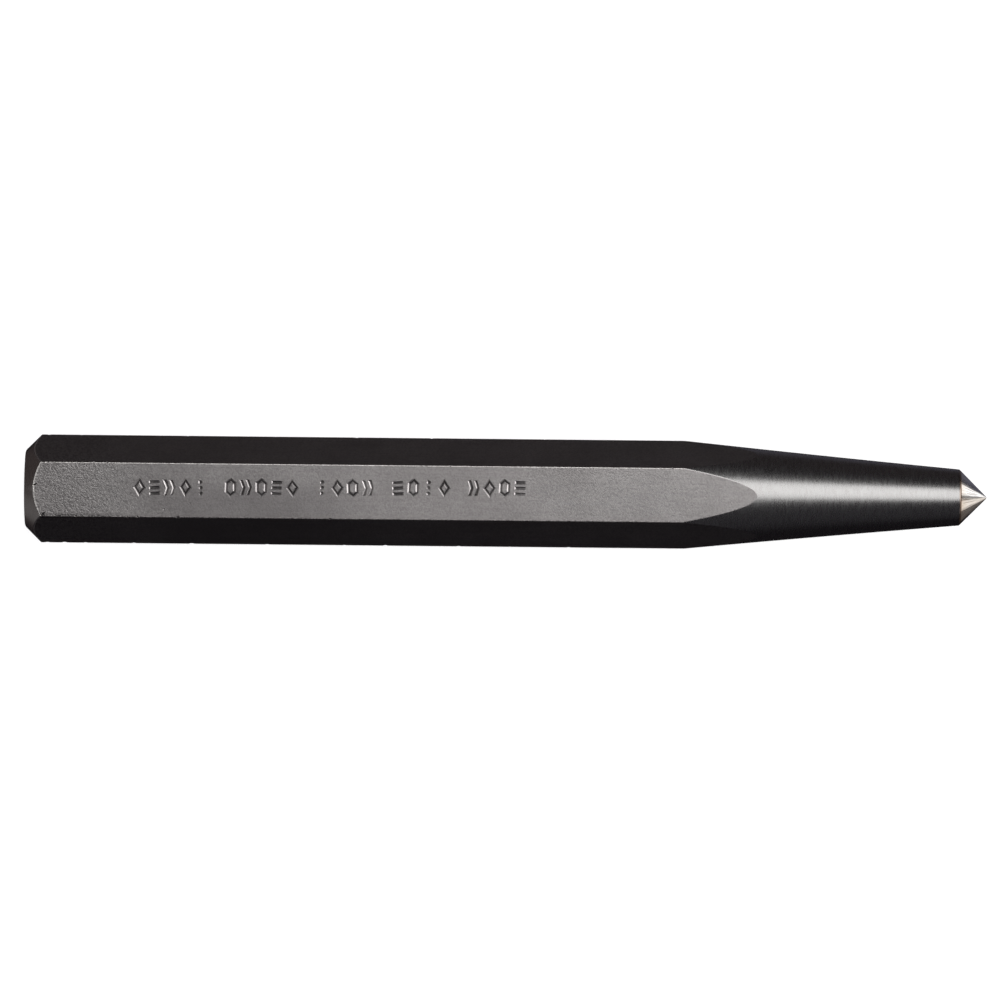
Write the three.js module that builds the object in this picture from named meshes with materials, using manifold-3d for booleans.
// Center punch, made in one piece from hexagonal tool-steel bar.
// Millimetres, +Z up. It lies on one of its flats with its axis along X and its point towards +X.
// The origin is on the resting flat, midway between the struck end and the tip.

import * as THREE from "three";
import { mergeVertices, toCreasedNormals } from "three/addons/utils/BufferGeometryUtils.js";
import Module from "manifold-3d";

// ---- driving dimensions -------------------------------------------------------------------

const ACROSS_FLATS = 15.875; // five-eighths of an inch, the size of the bar
const LENGTH = 162.9; // struck face to tip
const HEAD_CHAMFER = 2.75; // the 45 degree cone turned on the struck end, measured along the axis
const CROWN_HEIGHT = 0.15; // how far the middle of the struck face stands proud of its rim
const STRUCK_FLAT_DIAMETER = 4; // the middle of the crown, flattened
const NOSE_LENGTH = 51.5; // tip to where the taper runs out on the bar's corners
const NOSE_END_DIAMETER = 9.525; // three-eighths of an inch, where the taper meets the ground point
const NOSE_HOLLOW = 0.075; // how far the taper dips below a straight cone at its middle
const NOSE_CORNER_RADIUS = 0.3; // the rounded step from the taper to the point
const POINT_ANGLE = 90; // included angle of the ground point, in degrees
const TIP_RADIUS = 0.3;

const AROUND = 96; // facets round the turned surfaces
const CREASE = THREE.MathUtils.degToRad(4.5); // a sharper bend than this between facets is an edge
const TURNING_CLEARANCE = 0.4; // how far the turned outline stands outside the corners of the bar

// ---- derived dimensions --------------------------------------------------------------------

const CORNER_RADIUS = ACROSS_FLATS / 2 / Math.cos(Math.PI / 6);
const OUTER_RADIUS = CORNER_RADIUS + TURNING_CLEARANCE;
const RIM_RADIUS = CORNER_RADIUS - HEAD_CHAMFER;
const HALF_POINT = THREE.MathUtils.degToRad(POINT_ANGLE / 2);
const TIP_LOSS = TIP_RADIUS * (1 / Math.sin(HALF_POINT) - 1);
const POINT_LENGTH = NOSE_END_DIAMETER / 2 / Math.tan(HALF_POINT) - TIP_LOSS;
const TAPER_START = LENGTH - NOSE_LENGTH;
const TAPER_END = LENGTH - POINT_LENGTH;

// ---- materials -----------------------------------------------------------------------------

const darkSteel = new THREE.MeshStandardMaterial({ color: 0x4b4846, roughness: 0.42, metalness: 1 });

// ---- turned outline ------------------------------------------------------------------------
// Each stretch returns points (radius, distance from the struck face), in order towards the tip.

// The domed struck face: a flattened middle, then a shallow arc out to the rim.
function crown(steps = 4) {
  const flat = STRUCK_FLAT_DIAMETER / 2;
  const width = RIM_RADIUS - flat;
  const radius = (width ** 2 + CROWN_HEIGHT ** 2) / (2 * CROWN_HEIGHT);
  const drop = (r) => radius - Math.sqrt(radius ** 2 - (r - flat) ** 2);
  const points = [new THREE.Vector2(0, 0)];
  for (let i = 0; i <= steps; i += 1) {
    const r = THREE.MathUtils.lerp(flat, RIM_RADIUS, i / steps);
    points.push(new THREE.Vector2(r, drop(r)));
  }
  return points;
}

// The taper: a straight cone with a shallow hollow, run back past the corners of the bar.
function taper(steps = 6) {
  const small = NOSE_END_DIAMETER / 2;
  const slope = (CORNER_RADIUS - small) / (TAPER_END - TAPER_START);
  const points = [];
  for (let i = 0; i <= steps; i += 1) {
    const t = i / steps;
    const r = THREE.MathUtils.lerp(CORNER_RADIUS, small, t) - NOSE_HOLLOW * 4 * t * (1 - t);
    points.push(new THREE.Vector2(r, THREE.MathUtils.lerp(TAPER_START, TAPER_END, t)));
  }
  const entrySlope = slope + (4 * NOSE_HOLLOW) / (TAPER_END - TAPER_START);
  const runOut = TURNING_CLEARANCE / entrySlope;
  points.unshift(new THREE.Vector2(OUTER_RADIUS, TAPER_START - runOut));
  return points;
}

// Replaces the corner b between a and c with an arc that touches both lines.
function roundedCorner(a, b, c, radius, steps = 3) {
  const back = a.clone().sub(b).normalize();
  const ahead = c.clone().sub(b).normalize();
  const half = Math.acos(back.dot(ahead)) / 2;
  const centre = back.clone().add(ahead).setLength(radius / Math.sin(half)).add(b);
  const start = b.clone().addScaledVector(back, radius / Math.tan(half)).sub(centre);
  const end = b.clone().addScaledVector(ahead, radius / Math.tan(half)).sub(centre);
  const sweep = start.cross(end) > 0 ? Math.PI - 2 * half : 2 * half - Math.PI;
  const points = [];
  for (let i = 0; i <= steps; i += 1) {
    points.push(start.clone().rotateAround(new THREE.Vector2(), (sweep * i) / steps).add(centre));
  }
  return points;
}

// The ground point: a cone from the end of the taper to a small round tip on the axis.
function point(steps = 3) {
  const centre = LENGTH - TIP_RADIUS;
  const points = [];
  for (let i = 0; i < steps; i += 1) {
    const angle = THREE.MathUtils.lerp(Math.PI / 2 - HALF_POINT, 0, i / steps);
    points.push(new THREE.Vector2(Math.sin(angle), Math.cos(angle)).multiplyScalar(TIP_RADIUS));
    points[i].y += centre;
  }
  points.push(new THREE.Vector2(0, LENGTH));
  return points;
}

function turnedOutline() {
  const head = crown();
  const chamferEnd = HEAD_CHAMFER + TURNING_CLEARANCE + CROWN_HEIGHT;
  const nose = taper();
  const tip = point();
  const corner = nose.pop();
  const step = roundedCorner(nose[nose.length - 1], corner, tip[0], NOSE_CORNER_RADIUS);
  return [...head, new THREE.Vector2(OUTER_RADIUS, chamferEnd), ...nose, ...step, ...tip];
}

// ---- solids --------------------------------------------------------------------------------

const wasm = await Module();
wasm.setup();

// A closed geometry as a solid, with its shared vertices merged and collapsed triangles dropped.
function toSolid(geometry) {
  const bare = geometry.clone();
  bare.deleteAttribute("normal");
  bare.deleteAttribute("uv");
  const merged = mergeVertices(bare);
  const triangles = [];
  for (let i = 0; i < merged.index.count; i += 3) {
    const [a, b, c] = [0, 1, 2].map((k) => merged.index.getX(i + k));
    if (a !== b && b !== c && c !== a) {
      triangles.push(a, b, c);
    }
  }
  const vertProperties = new Float32Array(merged.attributes.position.array);
  const triVerts = new Uint32Array(triangles);
  return new wasm.Manifold(new wasm.Mesh({ numProp: 3, vertProperties, triVerts }));
}

function toGeometry(solid) {
  const mesh = solid.getMesh();
  const geometry = new THREE.BufferGeometry();
  geometry.setAttribute("position", new THREE.BufferAttribute(new Float32Array(mesh.vertProperties), 3));
  geometry.setIndex(new THREE.BufferAttribute(new Uint32Array(mesh.triVerts), 1));
  return toCreasedNormals(geometry, CREASE);
}

// The bar as it comes, along +X from the struck end, with a flat on top and one underneath.
function hexBar() {
  const corners = [];
  for (let side = 0; side < 6; side += 1) {
    const angle = ((side + 0.5) * Math.PI) / 3;
    corners.push(new THREE.Vector2(Math.cos(angle), Math.sin(angle)).multiplyScalar(CORNER_RADIUS));
  }
  const outline = new THREE.Shape(corners);
  const bar = new THREE.ExtrudeGeometry(outline, { depth: LENGTH, bevelEnabled: false });
  return bar.rotateY(Math.PI / 2);
}

// Everything the lathe and the grinder leave, as one turned shape along +X.
function turnedShape() {
  return new THREE.LatheGeometry(turnedOutline(), AROUND).rotateZ(-Math.PI / 2);
}

// ---- assembly ------------------------------------------------------------------------------

function centerPunch() {
  const solid = toSolid(hexBar()).intersect(toSolid(turnedShape()));
  const mesh = new THREE.Mesh(toGeometry(solid), darkSteel);
  mesh.name = "punch_body";
  mesh.position.set(-LENGTH / 2, 0, ACROSS_FLATS / 2);
  return mesh;
}

const punch = new THREE.Group();
punch.add(centerPunch());

export default punch;
